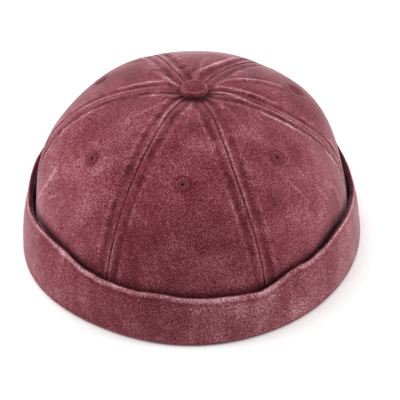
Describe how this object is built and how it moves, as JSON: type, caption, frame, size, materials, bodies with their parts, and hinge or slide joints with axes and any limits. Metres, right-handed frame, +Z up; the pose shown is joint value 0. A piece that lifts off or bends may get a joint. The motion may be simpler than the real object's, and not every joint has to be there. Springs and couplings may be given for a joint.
{
  "type": "docker beanie",
  "caption": "Brimless cap of washed cotton twill with a seamed crown, a covered top button, stitched eyelets and a turned-up cuff.",
  "frame": {"origin": "on the floor, under the middle of the cap's outline", "axes": "+Z up through the top button, -Y towards the front of the cap, +X to the viewer's right when seen from the front"},
  "size_m": [0.1914, 0.2114, 0.0981],
  "materials": {
    "twill": "garment-washed cotton twill, burgundy, worn pale on edges and seams",
    "thread": "cotton embroidery thread, burgundy"
  },
  "bodies": {
    "root": {"panel_front": "twill", "panel_front_right": "twill", "panel_back_right": "twill", "panel_back": "twill", "panel_back_left": "twill", "panel_front_left": "twill", "cuff": "twill", "top_button": "twill", "eyelet_front": "thread", "eyelet_front_right": "thread", "eyelet_back_right": "thread", "eyelet_back": "thread", "eyelet_back_left": "thread", "eyelet_front_left": "thread"}
  },
  "joints": []
}
